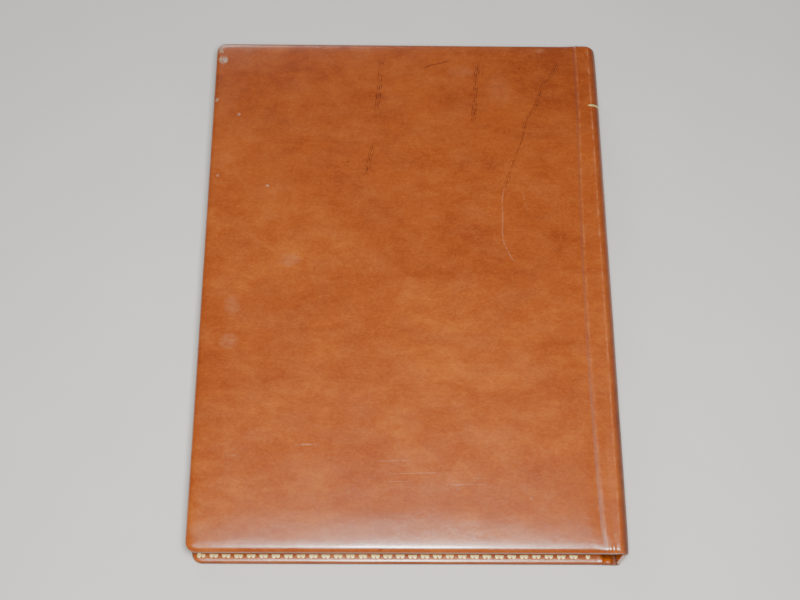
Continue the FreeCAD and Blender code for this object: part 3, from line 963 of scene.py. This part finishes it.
def gilt():
    """Gold leaf, rubbed through to the leather here and there."""
    look = Finish("gilt")
    rubbed = look.noise(520.0, 3.0, 0.6)
    worn = look.step(rubbed, 0.70, 0.80)
    crackle = look.step(look.cells(1900.0, "DISTANCE_TO_EDGE"), 0.0, 0.06, 1.0, 0.0)
    tone = look.mix(look.noise(260.0, 2.0), (255, 226, 124), (255, 242, 176))
    tone = look.mix(look.times(crackle, 0.2), tone, (190, 140, 60))
    tone = look.mix(worn, tone, (126, 70, 34))
    look.set(Base_Color=tone)
    look.set(Metallic=look.times(look.less(1.0, worn), 0.65))
    look.set(Roughness=look.line(rubbed, 0.3, 0.8, 0.40, 0.56))
    look.set(Normal=look.bump(look.noise(1400.0, 2.0), 0.00006, 0.6))
    return look.material


def lining_cloth():
    """Tan book cloth with a plain weave."""
    look = Finish("lining_cloth")
    u, y, _ = look.axes()
    drift = look.times(look.less(look.noise(60.0, 2.0), 0.5), 0.0012)
    warp = look.wave(look.total(u, drift), 0.00055)
    weft = look.wave(look.total(y, drift), 0.00060)
    weave = look.times(warp, weft)
    slubs = look.noise(1.0, 3.0, 0.6, 0.0, look.stretch((60.0, 900.0, 1.0)))
    slubs_down = look.noise(1.0, 3.0, 0.6, 0.0, look.stretch((900.0, 60.0, 1.0)))
    threads = look.total(look.times(slubs, 0.5), look.times(slubs_down, 0.5))
    made = look.mix(look.step(threads, 0.35, 0.65), (96, 74, 50), (146, 118, 84))
    made = look.mix(look.line(weave, -1.0, 1.0, 0.0, 0.30), made, (74, 56, 38))
    paler_tone = look.step(look.noise(16.0, 4.0, 0.6), 0.45, 0.75, 0.0, 0.3)
    made = look.mix(paler_tone, made, (160, 134, 100))
    height = look.total(look.times(weave, 0.5), look.times(threads, 0.6))
    look.set(Base_Color=made, Roughness=0.82, Normal=look.bump(height, 0.00012, 0.6))
    look.set(Sheen_Weight=0.25, Sheen_Roughness=0.4)
    return look.material


def paper(name, tones, stored, laid=0.0):
    """Paper or card: fibres, faint mottling and a soft tooth. laid is the pitch of its edge's layers."""
    look = Finish(name, stored)
    fibres = look.noise(1.0, 4.0, 0.65, 0.4, look.stretch((380.0, 900.0, 500.0), 30.0))
    mottled = look.noise(70.0, 5.0, 0.6)
    made = look.mix(look.step(mottled, 0.35, 0.68), tones[0], tones[1])
    made = look.mix(look.step(fibres, 0.55, 0.75, 0.0, 0.5), made, tones[2])
    aged = look.step(look.noise(9.0, 3.0, 0.6), 0.5, 0.8, 0.0, 0.35)
    made = look.mix(aged, made, tones[2])
    height = look.total(look.times(fibres, 0.6), look.times(look.noise(1800.0, 2.0), 0.5))
    if laid:
        height = look.total(height, look.times(look.wave(look.axes()[2], laid), 0.4))
    look.set(Base_Color=made, Roughness=0.9, Normal=look.bump(height, 0.00008, 0.5))
    return look.material


def felt():
    """Grey needled felt."""
    look = Finish("felt")
    wool = look.noise(650.0, 5.0, 0.7, 1.2)
    made = look.mix(look.step(wool, 0.3, 0.7), (96, 92, 88), (158, 152, 146))
    look.set(Base_Color=made, Roughness=0.95, Normal=look.bump(wool, 0.0003, 0.7))
    look.set(Sheen_Weight=0.3)
    return look.material


# ---- The pieces

LEATHER_OUT, LEATHER_IN, GOLD, CLOTH, WOOL = (
    outer_leather(), inner_leather(), gilt(), lining_cloth(), felt()
)
BOARD = paper("cover_board", ((128, 108, 84), (152, 130, 104), (96, 80, 62)), False, 0.0004)
CARD = paper("backing_card", ((168, 158, 140), (188, 178, 160), (132, 120, 100)), False, 0.0003)
BLOTTING = paper("blotting_paper", ((206, 196, 172), (220, 212, 192), (184, 170, 142)), True)


def place_piece(piece, material, slot, body, *nodes):
    """Gives a piece its material and its body, and hides the nodes it stands for. The slot is not used."""
    piece.data.materials.clear()
    piece.data.materials.append(material)
    if body:
        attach(piece, body)
    if nodes:
        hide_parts(*nodes)
    return piece


def place_bent(piece, material, slot, lower, *nodes):
    """Places a piece that lies across its cover's hinge, and bakes its transform into its mesh."""
    place_piece(piece, material, slot, None, *nodes)
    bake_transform(piece)
    return piece


back_skin = place_bent(
    make_skin("back_skin", False), LEATHER_OUT, "outer_leather", False,
    "back_leather", "back_hinge_leather", "spine_leather",
)
front_skin = place_bent(
    make_skin("front_skin", True), LEATHER_OUT, "outer_leather", True,
    "front_leather", "front_hinge_leather",
)
back_cloth = place_bent(
    make_lining("back_lining_cloth", False), CLOTH, "lining", False,
    "back_lining", "back_hinge_lining", "spine_lining",
)
front_cloth = place_bent(
    make_lining("front_lining_cloth", True), CLOTH, "lining", True, "front_lining", "front_hinge_lining"
)
place_bent(make_gilt_line("back_gilt_line", False), GOLD, "gilt", False, "spine_gilt_line")
place_bent(make_gilt_line("front_gilt_line", True), GOLD, "gilt", True)

place_piece(make_gilt_border("front_gilt_teeth", True), GOLD, "gilt", "front_cover", "front_gilt_border")
place_piece(make_gilt_border("back_gilt_teeth", False), GOLD, "gilt", "back_cover", "back_gilt_border")
front_felt = place_piece(
    make_felt("front_felt_layer", "front_felt", True), WOOL, "felt", "front_cover", "front_felt"
)
back_felt = place_piece(
    make_felt("back_felt_layer", "back_felt", False), WOOL, "felt", "back_cover", "back_felt"
)
place_piece(
    make_pocket("document_pocket"), LEATHER_IN, "inner_leather", "front_cover",
    "pocket_panel", "pocket_fore_edge_wall", "pocket_head_wall", "pocket_tail_wall",
)
place_piece(make_leaves("blotting_leaves"), BLOTTING, "blotting_paper", "back_cover", "blotting_sheets")
for where in ("fore_head", "hinge_head", "hinge_tail", "fore_tail"):
    place_piece(
        make_holder(f"corner_holder_{where}", f"blotter_corner_{where}"), LEATHER_IN, "inner_leather",
        "back_cover", f"blotter_corner_{where}",
    )

for node, material in (
    ("front_board", BOARD), ("back_board", BOARD), ("spine_card", BOARD), ("blotter_backing", CARD)
):
    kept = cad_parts[node]
    kept.data.materials.clear()
    kept.data.materials.append(material)

# ---- Floor, light and camera


# In metres and degrees; the turns are pitch, roll and yaw
FOCAL_LENGTH = 58.65
CAMERA_PLACE = (-0.014, -0.312, 0.730)
CAMERA_TURNS = (23.15, -0.88, 0.35)


def make_floor():
    """A plain pale floor that the closed mat lies on."""
    look = Finish("floor", False)
    tone = look.mix(look.noise(14.0, 3.0), (212, 210, 206), (220, 218, 214))
    look.set(Base_Color=tone, Roughness=0.75)
    reach = 6000.0
    outer = [(-reach, -reach, 0), (reach, -reach, 0), (reach, reach, 0), (-reach, reach, 0)]
    floor = make_piece("floor", outer, [(0, 1, 2, 3)])
    floor.data.materials.append(look.material)


def add_area(name, place, aim, size, power, tint=(1.0, 1.0, 1.0)):
    """A soft square light."""
    lamp = bpy.data.lights.new(name, "AREA")
    lamp.size, lamp.energy, lamp.color = size, power, tint
    holder = bpy.data.objects.new(name, lamp)
    bpy.context.scene.collection.objects.link(holder)
    holder.location = place
    holder.rotation_euler = (Vector(aim) - Vector(place)).to_track_quat("-Z", "Y").to_euler()


def add_world(strength):
    """An even pale surround."""
    world = bpy.data.worlds.new("studio")
    world.use_nodes = True
    backing = world.node_tree.nodes["Background"]
    backing.inputs["Color"].default_value = (1.0, 0.98, 0.95, 1.0)
    backing.inputs["Strength"].default_value = strength
    bpy.context.scene.world = world


def add_camera():
    """A camera above the tail, looking down at the closed mat."""
    lens = bpy.data.cameras.new("camera")
    lens.sensor_width, lens.lens = 36.0, FOCAL_LENGTH
    lens.clip_start, lens.clip_end = 0.05, 50.0
    lens.dof.use_dof = False
    camera = bpy.data.objects.new("camera", lens)
    bpy.context.scene.collection.objects.link(camera)
    pitch, roll, yaw = (math.radians(v) for v in CAMERA_TURNS)
    turned = Matrix.Rotation(yaw, 4, "Z") @ Matrix.Rotation(pitch, 4, "X") @ Matrix.Rotation(roll, 4, "Y")
    camera.matrix_world = Matrix.Translation(CAMERA_PLACE) @ turned
    bpy.context.scene.camera = camera


make_floor()
add_world(0.17)
add_area("key", (0.01, -0.29, 0.75), (0.0, 0.0, 0.03), size=0.12, power=9.6, tint=(1.0, 0.99, 0.97))
add_area("fill", (-0.8, 2.6, 1.3), (0.0, 0.0, 0.0), size=1.0, power=22.0)
add_camera()
